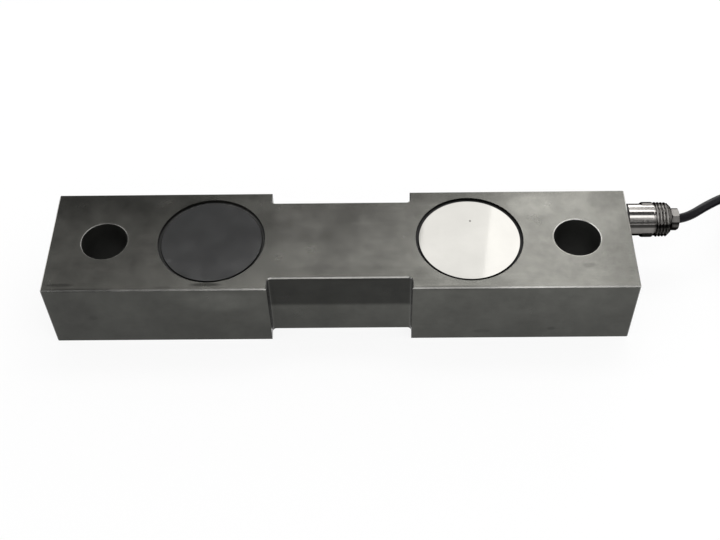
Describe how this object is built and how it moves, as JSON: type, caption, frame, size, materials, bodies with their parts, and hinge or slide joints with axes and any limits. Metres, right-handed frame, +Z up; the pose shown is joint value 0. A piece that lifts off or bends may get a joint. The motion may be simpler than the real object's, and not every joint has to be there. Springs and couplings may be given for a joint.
{
  "type": "strain gauge load cell",
  "caption": "Double-ended shear-beam load cell: steel bar with bolt holes, sealed round gauge pockets, a narrow waist and a cable gland with its lead coiled beside it.",
  "frame": {"origin": "centre of the bar's underside, midway between the two bolt holes", "axes": "+X along the bar towards the cable gland, +Y towards the long side that the gland is nearer to, +Z up out of the upper pocket face"},
  "size_m": [0.5058, 0.1206, 0.047],
  "materials": {
    "beam_steel": "ground and plated steel, satin, with faint stains",
    "cover_steel": "smooth, nearly polished",
    "sealant": "black potting sealant",
    "gland_steel": "turned and polished",
    "gland_rubber": "matte black",
    "cable_jacket": "smooth black cable jacket",
    "tie_plastic": "black nylon",
    "gauge_film": "amber film with foil grids",
    "circuit_board": "green laminate with solder points",
    "foam_pad": "double-sided foam",
    "lead_wire": "thin insulated wire",
    "core_red": "insulated core",
    "core_black": "insulated core",
    "core_green": "insulated core",
    "core_white": "insulated core"
  },
  "bodies": {
    "root": {"bare_black": "core_black", "bare_green": "core_green", "bare_red": "core_red", "bare_white": "core_white", "beam_body": "beam_steel", "board_pad": "foam_pad", "bridge_board": "circuit_board", "cable": "cable_jacket", "cable_coil": "cable_jacket", "cable_in_gland": "cable_jacket", "channel_lead": "lead_wire", "coil_tie": "tie_plastic", "core_black": "core_black", "core_green": "core_green", "core_red": "core_red", "core_white": "core_white", "cover_lower_left": "cover_steel", "cover_lower_right": "cover_steel", "cover_upper_left": "cover_steel", "cover_upper_right": "cover_steel", "gland_body": "gland_steel", "gland_grommet": "gland_rubber", "gland_nut": "gland_steel", "gland_seal_ring": "gland_rubber", "gland_washer": "gland_steel", "right_lead": "lead_wire", "seal_lower_left": "sealant", "seal_lower_right": "sealant", "seal_upper_left": "sealant", "seal_upper_right": "sealant", "shear_gauge_lower_left": "gauge_film", "shear_gauge_lower_right": "gauge_film", "shear_gauge_upper_left": "gauge_film", "shear_gauge_upper_right": "gauge_film", "terminals_lower_left": "circuit_board", "terminals_lower_right": "circuit_board", "terminals_upper_left": "circuit_board", "terminals_upper_right": "circuit_board", "web_lead_left": "lead_wire", "web_lead_right": "lead_wire"}
  },
  "joints": []
}
